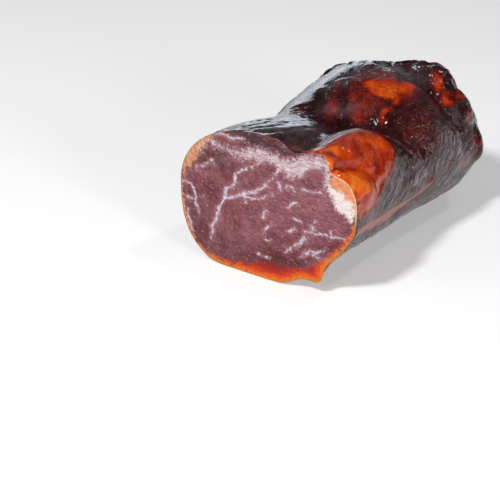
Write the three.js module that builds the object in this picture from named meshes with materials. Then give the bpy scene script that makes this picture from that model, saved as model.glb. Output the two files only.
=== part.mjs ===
// A piece of boneless cured ham, as it lies on a table: a firm, rounded log of meat with one clean cut
// face and one naturally folded end. It is a single solid that rests on its own flattened underside.
// X runs across the ham, Y from the cut face to the far end, and Z up. All sizes are millimetres.
import * as THREE from "three";

// Driving sizes
const LENGTH = 160; // cut face to the tip of the far end
const END_DEPTH = 42; // length of the rounded far end
const END_SHOULDER = 48; // degrees of the end's quarter round that belong to the flanks
const ACROSS = 22; // mesh steps across the cut face, and on each flank
const ALONG = 42; // mesh steps from the cut face to the far end
const BED_DEPTH = 3.5; // how far the soft underside is pressed flat where it lies
const BED_EASE = 2.5; // height over which the pressed bed rounds up into the flanks

// The trunk's cross-section at stations along the ham. mid is where the section is centred across the
// ham, left and right are its half widths from there, waist is the height of its widest level, and
// crown is its top. keel is how square its lower right quarter is. Each is eased into the next by a
// smooth curve.
const STATIONS = [
  { along: 0, mid: 0, left: 49, right: 50, waist: 40, crown: 77, keel: 1.4 },
  { along: 20, mid: 1, left: 48, right: 48, waist: 40, crown: 75, keel: 1.5 },
  { along: 52, mid: 5, left: 47, right: 44, waist: 37, crown: 70, keel: 1.6 },
  { along: 85, mid: 6, left: 47, right: 47, waist: 37, crown: 74, keel: 1.65 },
  { along: 115, mid: 7, left: 49, right: 49, waist: 37, crown: 77, keel: 1.9 },
  { along: 140, mid: 9, left: 50, right: 46, waist: 36, crown: 71, keel: 2.1 },
  { along: 160, mid: 11, left: 46, right: 42, waist: 34, crown: 60, keel: 2.1 },
];

// How square the other quarters of the section are, as a superellipse exponent: 1 is a straight cut
// corner, 2 an ellipse and more is squarer. The heavy lower left corner sags full.
const FULLNESS = { upperRight: 2.6, upperLeft: 2.15, lowerLeft: 2.8 };

// Lumps and hollows of the flesh under the rind. at is a point of the skin [across, along, up], spread
// is how far the lump reaches across the skin, reach how far it goes along the ham, and rise is its
// height, which is negative in a hollow.
const SWELLINGS = [
  { at: [31, 14, 71], spread: 12, reach: 17, rise: 5 }, // fat pad beside the cut's upper right corner
  { at: [46, 12, 57], spread: 10, reach: 12, rise: 5 }, // fat pad below it
  { at: [41, 38, 62], spread: 13, reach: 13, rise: 4 }, // fat pad behind both
  { at: [25, 31, 73], spread: 12, reach: 15, rise: 7 }, // crest of the fat pads
  { at: [37, 47, 67], spread: 11, reach: 12, rise: 4.5 }, // rear end of that crest
  { at: [4, 92, 79], spread: 26, reach: 22, rise: 3 }, // crest of the hump
  { at: [12, 57, 71], spread: 17, reach: 12, rise: -7 }, // hollow in front of the hump
  { at: [46, 80, 64], spread: 17, reach: 18, rise: 5 }, // muscle at the right shoulder
  { at: [29, 124, 77], spread: 17, reach: 12, rise: 6.5 }, // lobe of the far end, upper
  { at: [50, 114, 58], spread: 10, reach: 10, rise: 3 }, // lobe of the far end, right
  { at: [58, 124, 38], spread: 7, reach: 7, rise: 6 }, // hard nib on the right
  { at: [29, 0, 11], spread: 4.5, reach: 5, rise: 7 }, // loose tag of rind under the cut
  { at: [-48, 40, 38], spread: 22, reach: 22, rise: -3 }, // hollow in the left flank
  { at: [-46, 96, 40], spread: 22, reach: 24, rise: 3 }, // muscle in the left flank
  { at: [-30, 128, 60], spread: 14, reach: 14, rise: 4 }, // lobe of the far end, left
];

// Creases in the rind. route is a line of points on the skin, width is how wide the crease is, and
// depth is how far it cuts in.
const FURROWS = [
  // between the fat pads and the hollow in front of the hump
  {
    route: [[17, -16, 76], [20, 18, 75], [18, 42, 71], [27, 62, 69], [38, 67, 65], [50, 68, 55]],
    width: 6.5,
    depth: 9,
  },
  // between the two fat pads
  { route: [[36, -10, 66], [38, 5, 67], [42, 14, 65], [50, 26, 57]], width: 4.5, depth: 7 },
  // between the hump and the right shoulder
  { route: [[27, 98, 77], [30, 84, 74], [32, 72, 70], [28, 60, 69]], width: 5, depth: 5 },
  // before the far lobes
  {
    route: [[4, 114, 81], [26, 108, 79], [40, 104, 73], [48, 100, 66], [54, 106, 56], [58, 116, 46]],
    width: 5,
    depth: 6,
  },
  // between the two far lobes
  { route: [[38, 106, 75], [40, 118, 71], [38, 132, 62], [30, 148, 46]], width: 4.5, depth: 3 },
  // along the foot of the right flank
  { route: [[50, 6, 30], [51, 40, 29], [54, 70, 25], [57, 94, 20]], width: 6, depth: 3 },
  // across the left flank
  { route: [[-30, 60, 66], [-44, 66, 56], [-50, 74, 40], [-48, 84, 24]], width: 6, depth: 4 },
  // down the far end
  { route: [[-12, 138, 72], [-8, 152, 58], [4, 164, 40], [14, 160, 22]], width: 6, depth: 5 },
];
const ROUTE_STEPS = 24; // points that each crease's smooth line is measured at

// One smooth curve through the stations for each measure of the section.
function easedThrough(measure) {
  const points = STATIONS.map((s) => new THREE.Vector3(s.along, s[measure], 0));
  const curve = new THREE.CatmullRomCurve3(points, false, "centripetal");
  return (along) => {
    const last = STATIONS.length - 1;
    let span = 0;
    while (span < last - 1 && along > STATIONS[span + 1].along) span += 1;
    const start = STATIONS[span].along;
    const end = STATIONS[span + 1].along;
    const share = THREE.MathUtils.clamp((along - start) / (end - start), 0, 1);
    return curve.getPoint((span + share) / last).y;
  };
}

const section = Object.fromEntries(
  ["mid", "left", "right", "waist", "crown", "keel"].map((name) => [name, easedThrough(name)]),
);

// The ham's long profile. travel is the share of the way from the cut face to the tip, measured along
// the skin, so that the mesh steps stay even round the far end.
const END_ARC = (END_DEPTH * Math.PI) / 2;
const TRUNK = LENGTH - END_DEPTH;
const SHOULDER_TRAVEL = (TRUNK + END_ARC * (END_SHOULDER / 90)) / (TRUNK + END_ARC);

function profileAt(travel) {
  const run = travel * (TRUNK + END_ARC);
  if (run <= TRUNK) return { along: run, girth: 1 };
  const turn = ((run - TRUNK) / END_ARC) * (Math.PI / 2);
  return { along: TRUNK + END_DEPTH * Math.sin(turn), girth: Math.cos(turn) };
}

function signedPower(value, exponent) {
  return Math.sign(value) * Math.abs(value) ** exponent;
}

// A point of the plain trunk: a superellipse round the middle line, shrunk by girth at the far end.
function trunkPoint(angle, along, girth) {
  const quarter = (Math.sin(angle) < 0 ? "lower" : "upper") + (Math.cos(angle) < 0 ? "Left" : "Right");
  const fullness = FULLNESS[quarter] ?? section.keel(along);
  const across = signedPower(Math.cos(angle), 2 / fullness);
  const upward = signedPower(Math.sin(angle), 2 / fullness);
  const waist = section.waist(along);
  const halfWidth = across < 0 ? section.left(along) : section.right(along);
  const halfHeight = upward < 0 ? waist + BED_DEPTH : section.crown(along) - waist;
  return new THREE.Vector3(
    section.mid(along) + across * halfWidth * girth,
    along,
    waist + upward * halfHeight * girth,
  );
}

// The direction that swellings and furrows work in: straight away from the ham's core line.
function outwardFrom(point) {
  const level = Math.min(point.y, TRUNK);
  const core = new THREE.Vector3(section.mid(level), level, section.waist(level));
  return point.clone().sub(core).normalize();
}

function swellingAt(point, { at, spread, reach, rise }) {
  const across = Math.hypot(point.x - at[0], point.z - at[2]) / spread;
  const along = (point.y - at[1]) / reach;
  return rise * Math.exp(-(across ** 2) - along ** 2);
}

// The crease's line as short steps, with the share of the full depth that it has at each. It runs out
// to nothing at both ends.
function creaseLine({ route, width, depth }) {
  const curve = new THREE.CatmullRomCurve3(route.map((place) => new THREE.Vector3(...place)));
  const steps = curve.getSpacedPoints(ROUTE_STEPS).map((place, i) => ({
    place,
    share: Math.sin((Math.PI * i) / ROUTE_STEPS) ** 0.5,
  }));
  return { steps, width, depth };
}

function creaseAt(point, { steps, width, depth }) {
  const cuts = steps.map(({ place, share }) => share * Math.exp(-((point.distanceTo(place) / width) ** 2)));
  return -depth * Math.max(...cuts);
}

const creases = FURROWS.map(creaseLine);

// The height of a point that the table holds up. The bed is flat, and meets the flanks without an edge.
function restingHeight(height) {
  if (height > BED_EASE) return height;
  return height < -BED_EASE ? 0 : (height + BED_EASE) ** 2 / (4 * BED_EASE);
}

// A point of the finished skin: the trunk, its lumps and creases, and the flat bed it rests on.
function hamPoint(angle, travel) {
  const { along, girth } = profileAt(travel);
  const point = trunkPoint(angle, along, girth);
  const rises = SWELLINGS.map((swelling) => swellingAt(point, swelling));
  const cuts = creases.map((crease) => creaseAt(point, crease));
  const change = [...rises, ...cuts].reduce((sum, value) => sum + value, 0);
  point.addScaledVector(outwardFrom(point), change);
  point.z = restingHeight(point.z);
  return point;
}

// Maps a square ring of the box's end onto a round one, with even angles along each side.
function ringAngle(x, z) {
  if (x === 0 && z === 0) return 0;
  if (Math.abs(x) >= Math.abs(z)) return (Math.PI / 4) * (z / x) + (x < 0 ? Math.PI : 0);
  return Math.PI / 2 - (Math.PI / 4) * (x / z) + (z < 0 ? Math.PI : 0);
}

// The box's flanks become the ham's rind, its front the cut face and its back the far end's tip.
function hamGeometry() {
  const geometry = new THREE.BoxGeometry(2, 2, 2, ACROSS, ALONG, ACROSS);
  geometry.deleteAttribute("normal");
  geometry.deleteAttribute("uv");
  const position = geometry.getAttribute("position");
  const core = new THREE.Vector3(section.mid(0), 0, section.waist(0));
  for (let i = 0; i < position.count; i += 1) {
    const [x, y, z] = [position.getX(i), position.getY(i), position.getZ(i)].map(
      (value) => Math.round(value * 1e5) / 1e5,
    );
    const ring = Math.max(Math.abs(x), Math.abs(z));
    const angle = ringAngle(x, z);
    let point;
    if (y === -1) point = core.clone().lerp(hamPoint(angle, 0), ring);
    else if (y === 1) point = hamPoint(angle, 1 - (1 - SHOULDER_TRAVEL) * ring);
    else point = hamPoint(angle, (SHOULDER_TRAVEL * (y + 1)) / 2);
    position.setXYZ(i, point.x, point.y, point.z);
  }
  return geometry;
}

const curedMeat = new THREE.MeshStandardMaterial({ color: "#5a1f1c", roughness: 0.35, metalness: 0 });
const ham = new THREE.Mesh(hamGeometry(), curedMeat);
ham.name = "ham";

// The part's origin is on the table, under the middle of its box.
const box = new THREE.Box3().setFromObject(ham);
const middle = box.getCenter(new THREE.Vector3());
ham.position.set(-middle.x, -middle.y, -box.min.z);

const model = new THREE.Group();
model.add(ham);

export default model;
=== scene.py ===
"""A piece of boneless cured ham: a dark, oily, folded rind with amber fat pads, and one marbled cut face.

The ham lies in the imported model's frame, in metres. Features of the flesh are given in the ham's own
millimetres: across from the middle of the cut face, along from the cut face, and up from the table.
"""

import logging
import math
from dataclasses import dataclass, field

import bmesh
import bpy
import numpy as np
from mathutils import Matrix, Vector, noise


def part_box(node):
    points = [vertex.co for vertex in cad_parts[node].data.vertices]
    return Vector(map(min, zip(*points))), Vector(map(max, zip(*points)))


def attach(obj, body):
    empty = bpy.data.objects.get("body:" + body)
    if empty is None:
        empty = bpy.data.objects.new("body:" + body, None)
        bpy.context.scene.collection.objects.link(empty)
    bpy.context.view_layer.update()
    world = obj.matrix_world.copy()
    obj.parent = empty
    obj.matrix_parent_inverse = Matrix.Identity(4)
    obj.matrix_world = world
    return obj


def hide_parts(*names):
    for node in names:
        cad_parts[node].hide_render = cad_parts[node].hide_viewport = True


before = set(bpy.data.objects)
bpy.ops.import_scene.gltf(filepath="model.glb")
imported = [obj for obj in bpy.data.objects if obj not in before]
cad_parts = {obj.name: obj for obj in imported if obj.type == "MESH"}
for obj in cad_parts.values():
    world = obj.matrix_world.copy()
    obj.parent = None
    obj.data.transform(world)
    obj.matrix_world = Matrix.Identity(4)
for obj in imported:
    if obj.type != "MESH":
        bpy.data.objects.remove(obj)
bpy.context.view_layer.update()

log = logging.getLogger("cured_ham")

MM = 0.001  # metres in a millimetre
TOUCHING = 0.01  # mm; points closer than this are one point, or lie on the cut face
CUT_TO_LEFT = 48.9  # mm from the middle of the cut face to the ham's leftmost point
NOISE_SEED = 1  # without one, Blender's vector noise differs from run to run


def linear(colour: str) -> tuple[float, float, float, float]:
    """Turns an sRGB hex colour into Blender's linear colour.

    Args:
        colour: The colour as "#rrggbb".

    Returns:
        Red, green, blue and an alpha of 1.
    """
    parts = [int(colour[i : i + 2], 16) / 255 for i in (1, 3, 5)]
    red, green, blue = (p / 12.92 if p <= 0.04045 else ((p + 0.055) / 1.055) ** 2.4 for p in parts)
    return red, green, blue, 1.0


def add(
    tree: bpy.types.NodeTree, kind: str, inputs: dict | None = None, **settings: object
) -> bpy.types.Node:
    """Adds a shader node.

    Args:
        tree: The material's node tree.
        kind: The node's type, without its "ShaderNode" beginning.
        inputs: What each named or numbered input gets: another node or its output, or a value.
        settings: The node's own properties.

    Returns:
        The new node.
    """
    node = tree.nodes.new("ShaderNode" + kind)
    for name, value in settings.items():
        setattr(node, name, value)
    for name, value in (inputs or {}).items():
        if isinstance(value, bpy.types.Node):
            value = next(output for output in value.outputs if output.enabled)
        if isinstance(value, bpy.types.NodeSocket):
            tree.links.new(value, node.inputs[name])
        else:
            node.inputs[name].default_value = value
    return node


def bare_material(name: str) -> bpy.types.Material:
    """A new material with an empty node tree."""
    made = bpy.data.materials.new(name)
    made.use_nodes = True
    made.node_tree.nodes.clear()
    return made


def graded(ramp: bpy.types.Node, stops: tuple[tuple[float, str], ...]) -> bpy.types.NodeSocket:
    """Gives a colour ramp its colours.

    Args:
        ramp: The ramp's node.
        stops: Each colour's place on the ramp, from 0 to 1, and the colour.

    Returns:
        The output that the colours come from.
    """
    elements = ramp.color_ramp.elements
    while len(elements) < len(stops):
        elements.new(0.5)
    for element, (position, colour) in zip(elements, stops):
        element.position = position
        element.color = linear(colour)
    return ramp.outputs["Color"]


@dataclass(frozen=True)
class Stroke:
    """A soft brush stroke on the skin.

    route is its points, each across, along, up and half width in mm. soft is how wide its edge is in mm,
    and strength how much it covers.
    """

    route: tuple[tuple[float, float, float, float], ...]
    soft: float = 2.0
    strength: float = 1.0

    def gap(self, points: np.ndarray) -> np.ndarray:
        """Measures how far points lie from the stroke's edge.

        Args:
            points: The points, in mm.

        Returns:
            Each point's distance outside the edge in mm, negative inside.
        """
        nearest = np.full(len(points), 1e6)
        ends = self.route[1:] or self.route
        for start, end in zip(self.route, ends):
            first, last = np.array(start[:3]), np.array(end[:3])
            run = last - first
            share = np.clip((points - first) @ run / max(run @ run, 1e-9), 0, 1)
            away = np.linalg.norm(points - first - share[:, None] * run, axis=1)
            nearest = np.minimum(nearest, away - (start[3] + share * (end[3] - start[3])))
        return nearest

    def cover(self, points: np.ndarray) -> np.ndarray:
        """How much the stroke covers each point, from 0 to its strength."""
        return self.strength * eased(-self.gap(points), -self.soft, self.soft)


def on_cut(*route: tuple[float, float, float]) -> Stroke:
    """A stroke on the cut face, from points of across, up and half width, in mm."""
    return Stroke(tuple((across, 0.0, up, half) for across, up, half in route))


def painted(points: np.ndarray, strokes: tuple[Stroke, ...]) -> np.ndarray:
    """The cover of several strokes. Where they cross, the strongest counts."""
    return np.max([stroke.cover(points) for stroke in strokes], axis=0)


def nearest_gap(points: np.ndarray, strokes: tuple[Stroke, ...]) -> np.ndarray:
    """The gap in mm from each point to the nearest of several strokes."""
    return np.min([stroke.gap(points) for stroke in strokes], axis=0)


def rumple(points: np.ndarray, size: float | tuple[float, float, float], seed: int) -> np.ndarray:
    """Smooth noise from about -1 to 1.

    Args:
        points: Where it is read, in mm.
        size: How long one lump is, in mm, the same each way or across, along and up.
        seed: Which noise of that size.

    Returns:
        One number for each point.
    """
    places = points / np.array(size) + seed * np.array([17.3, 5.1, 9.7])
    return np.array([noise.noise(Vector(place)) for place in places])


def wandered(points: np.ndarray, size: float, reach: float, seed: int) -> np.ndarray:
    """Points moved about smoothly, so that what is measured from them wanders like something grown.

    Args:
        points: The points, in mm.
        size: How long one swing is, in mm.
        reach: About how far the points move, in mm.
        seed: Which noise of that size.

    Returns:
        The moved points.
    """
    places = points / size + seed * np.array([3.7, 11.9, 6.3])
    return points + reach * np.array([noise.noise_vector(Vector(place)) for place in places])


def creased(
    points: np.ndarray, size: float | tuple[float, float, float], seed: int, sharp: float = 2.2
) -> np.ndarray:
    """Noise of smooth swellings with creases between them, from 0 in a crease to 1 on a swelling.

    Args:
        points: Where it is read, in mm.
        size: How long one swelling is, in mm, the same each way or across, along and up.
        seed: Which noise of that size.
        sharp: How narrow the creases are.

    Returns:
        One number for each point.
    """
    return np.tanh(np.abs(rumple(points, size, seed)) * sharp)


def eased(value: np.ndarray, low: float, high: float) -> np.ndarray:
    """Rises smoothly from 0 where value is low to 1 where it is high."""
    share = np.clip((value - low) / (high - low), 0, 1)
    return share * share * (3 - 2 * share)


@dataclass(frozen=True)
class CutMarks:
    """Where the fat, membrane, tones and a painted highlight along part of the rim lie on the cut face."""

    veins: tuple[Stroke, ...] = (
        # the long membrane that comes down from the middle
        on_cut(
            (-10, 57, 0.3), (-16, 53, 0.6), (-16, 49, 0.6), (-17.5, 46, 0.5), (-22, 43.5, 0.5),
            (-22, 40, 0.6), (-23.5, 36.5, 0.7), (-26, 32, 0.6), (-27, 27, 0.5), (-30, 20, 0.4),
            (-31, 13, 0.2),
        ),
        # its branch to the right
        on_cut(
            (-22, 38, 0.6), (-15, 41.5, 0.5), (-10, 44, 0.7), (-4, 47, 0.3), (-1, 49, 0.4), (1, 51.5, 0.7),
            (3, 50.5, 0.3),
        ),
        on_cut((-11, 43.5, 0.6), (-10, 39, 0.25)),
        on_cut((-10, 42.5, 0.4), (-6, 42.5, 0.4), (-1, 44, 0.2), (5, 47, 0.15)),
        # threads from the seam
        on_cut((2, 52, 0.2), (5, 56, 0.2), (8, 60.5, 0.25), (9, 63, 0.15)),
        on_cut((-7, 58.5, 0.2), (-4, 61, 0.2), (-1, 63, 0.2)),
        on_cut((-36, 52, 0.2), (-32, 54.5, 0.2), (-29.5, 57, 0.25), (-28.5, 55, 0.2)),
        on_cut((20.5, 54, 0.1), (26, 54.7, 0.2), (33, 55.5, 0.1)),
        # flecks of the middle and the right
        on_cut((8, 55, 0.3), (9, 52.5, 0.5), (10, 51, 0.3)),
        on_cut((13, 54, 0.4), (15, 54.2, 0.4), (17, 52.5, 0.3)),
        on_cut((14, 43, 0.5), (16, 45, 0.5), (18, 46.5, 0.2)),
        on_cut((-0.5, 34, 0.4), (0.5, 36, 0.4), (1.5, 38, 0.2)),
        on_cut((0.5, 27, 0.3), (2, 29, 0.4), (4.5, 31, 0.2)),
        on_cut((14, 30, 0.4), (16, 31.3, 0.8), (17.5, 32.5, 0.4)),
        on_cut((17, 38, 0.3), (19.5, 38, 0.5), (21, 37, 0.3)),
        on_cut((25.5, 36.5, 0.3), (27, 36, 0.9), (29, 35.5, 0.4)),
        on_cut((27, 36.4, 0.4), (29, 39.5, 0.2)),
        on_cut(
            (23.5, 32.7, 0.2), (28, 33.4, 0.3), (33, 34, 0.4), (37.5, 34, 0.4), (40.5, 35, 0.3),
            (45, 35, 0.3),
        ),
        on_cut((37.5, 34, 0.3), (37, 37, 0.2)),
        on_cut((12.5, 18, 0.2), (16, 21.7, 0.3), (18.5, 24, 0.6), (21, 26, 0.3), (22.5, 29, 0.5)),
        on_cut((22.5, 29.5, 0.5), (24.5, 28.5, 0.3)),
        on_cut((1.5, 22, 0.2), (3, 21.5, 0.3), (4.5, 23, 0.2)),
        on_cut((21, 18, 0.2), (23, 20.7, 0.3), (26.5, 22.7, 0.4), (31, 23.3, 0.3), (34.5, 26.5, 0.2)),
        on_cut((26.5, 22.5, 0.3), (31, 20.5, 0.2), (36, 21.5, 0.2)),
        on_cut((-3, 13.3, 0.2), (-0.5, 12.3, 0.2), (4, 12.6, 0.1)),
        # thin membranes along the left
        on_cut(
            (-47, 41, 0.2), (-43, 41, 0.25), (-41, 39, 0.3), (-40, 35, 0.35), (-39.8, 31, 0.35),
            (-38, 26, 0.2),
        ),
        on_cut((-45, 33, 0.5), (-42.5, 32.5, 0.4)),
        on_cut((-45, 26, 0.3), (-44.5, 21, 0.35), (-42, 15, 0.2)),
        on_cut((-39.5, 49.5, 0.25), (-38.3, 52, 0.3)),
        # strands under the top rim
        on_cut((-29, 71, 0.2), (-24, 72, 0.5), (-20, 72, 0.4)),
        on_cut((-20, 71, 0.3), (-16, 71, 0.5), (-11.5, 72.5, 0.3)),
    )
    seam: tuple[Stroke, ...] = (
        # thin and broken on the left, where it starts
        on_cut((-38, 61.5, 0.8), (-31, 66, 0.8), (-24, 65.5, 0.7), (-18, 64, 0.9), (-12, 63.5, 1.3)),
        # the broad white stretch under the top rim
        on_cut((-13, 64, 1.2), (-8, 65.5, 2.6), (-2, 66.5, 2.8), (3, 66.5, 2.4), (9, 65.5, 2.2)),
        # the thick knob that turns down behind the fat pads
        on_cut((8, 65, 2.2), (14, 63, 3.6), (18, 64, 4.4), (23, 67, 4.0), (29, 70, 2.8), (33, 69.5, 2.2)),
        on_cut((33, 70, 2.2), (35, 66, 1.6), (35, 62, 1.2), (34, 58, 0.7)),
    )
    # lean that shows through the seam's knob
    lean_island: tuple[Stroke, ...] = (
        on_cut((23, 62.5, 1.4), (26.5, 63.5, 2.4), (30, 64.5, 1.8), (28, 61, 1.4)),
    )
    wedge: tuple[Stroke, ...] = (
        on_cut((37, 58, 1.6), (40.5, 55, 3.2), (44, 51.5, 3.9), (46.5, 48.5, 2.2), (47.3, 45.5, 0.8)),
    )
    amber_fat: tuple[Stroke, ...] = (
        # between the seam and the two fat pads
        on_cut((35.5, 71.5, 0.8), (37.3, 68, 0.9), (38.3, 64.5, 1.2), (38.2, 61, 1.6), (42, 59, 1.6)),
        # outside the wedge
        on_cut((42, 59, 1.6), (46, 56.5, 1.6), (49, 53, 1.4), (50, 49, 0.8)),
        on_cut((39.5, 65, 1.2), (43, 62, 1.6), (47, 59, 1.6), (50, 54.5, 1.4), (51.5, 49, 0.8)),
    )
    # where the rim of the cut by the fat pads shows as a pale line of fat, lightened into a painted
    # highlight on the edge
    pale_rim_highlight: tuple[Stroke, ...] = (
        on_cut((36, 71, 2), (42, 64, 4), (48, 58, 4), (51, 50, 3), (51, 46, 2)),
    )
    tan_fat: tuple[Stroke, ...] = (
        on_cut(
            (-46.5, 46, 1.0), (-45.5, 50, 2.0), (-42.5, 55.5, 3.2), (-39.5, 60.5, 2.0), (-34, 66.5, 2.2),
            (-31, 69, 1.2),
        ),
        on_cut((-48.8, 44, 0.9), (-49, 36, 1.0), (-48.4, 28, 1.1), (-46.5, 20, 1.1), (-42, 11, 1.2)),
    )
    dark_rim: tuple[Stroke, ...] = (
        on_cut(
            (-33, 71, 0.8), (-27, 73.5, 1.5), (-20, 75, 1.5), (-13, 76.8, 0.9), (-4, 77, 0.6),
            (10, 75.5, 0.6),
        ),
        on_cut((10, 75.5, 0.6), (20, 73.6, 0.5), (24, 73, 0.2)),
    )
    # where the rind shows as an orange line round the cut
    orange_rim: tuple[Stroke, ...] = (
        on_cut(
            (-36, 70, 2), (-45, 60, 3), (-50, 44, 3), (-48, 22, 3), (-38, 5, 3), (-20, 0, 3), (0, 0, 3),
            (20, 3, 3),
        ),
        on_cut((20, 3, 3), (36, 12, 3), (45, 28, 3), (50, 38, 2), (51, 45, 1)),
    )
    crust: tuple[Stroke, ...] = (
        on_cut(
            (-42, 10, 0.6), (-34, 3, 1.2), (-20, 1, 2.0), (-9, 2.5, 2.6), (-2, 4.5, 4.6), (6, 4, 5.2),
            (14, 5, 5.6), (21, 8, 4.2), (28, 11.5, 3.2), (35, 18.5, 2.2), (41, 25.5, 1.7),
            (46, 33.5, 1.3), (49.5, 43, 0.8),
        ),
        on_cut((26, 7, 2.5), (30, 10, 4.0), (33, 14, 3.0)),
    )
    maroon: tuple[Stroke, ...] = (
        Stroke(((-14, 0, 9, 2), (0, 0, 13, 3), (12, 0, 14, 3), (22, 0, 15, 2)), 5.0, 0.9),
        Stroke(((26, 0, 19, 1), (38, 0, 28, 1), (46, 0, 38, 1)), 3.0, 0.7),
        Stroke(((-34, 0, 44, 3), (-30, 0, 36, 3)), 5.0, 0.35),
    )
    brown: tuple[Stroke, ...] = (
        Stroke(((-18, 0, 74, 1.5), (-8, 0, 74, 3.5), (4, 0, 73, 2.5), (12, 0, 71, 2)), 3.0, 0.95),
        Stroke(((-40, 0, 58, 2), (-30, 0, 61, 2), (-22, 0, 58, 2), (-32, 0, 54, 2)), 4.0, 0.5),
        Stroke(((-44, 0, 30, 4), (-38, 0, 16, 4), (-20, 0, 8, 3)), 8.0, 0.45),
    )
    pink: tuple[Stroke, ...] = (
        Stroke(((-6, 0, 44, 8), (12, 0, 42, 14), (28, 0, 44, 14), (38, 0, 38, 8)), 16.0),
    )


@dataclass(frozen=True)
class Fold:
    """A crease in the rind with the flesh swelling beside it.

    route is its points in mm, width is how wide the crease is, depth how far it cuts in, or fills up
    where it is negative, and lip how far the flesh stands up beside it.
    """

    route: tuple[tuple[float, float, float], ...]
    width: float
    depth: float
    lip: float = 0.0

    def rise(self, points: np.ndarray) -> np.ndarray:
        """Measures how far the fold lifts the skin.

        Args:
            points: Points of the skin, in mm.

        Returns:
            Each point's rise in mm, negative in the crease.
        """
        line = Stroke(tuple((*place, 0.0) for place in self.route))
        away = np.maximum(line.gap(points), 0) / self.width
        return self.lip * np.exp(-((away - 1.9) ** 2)) - self.depth * np.exp(-(away**2))


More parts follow.
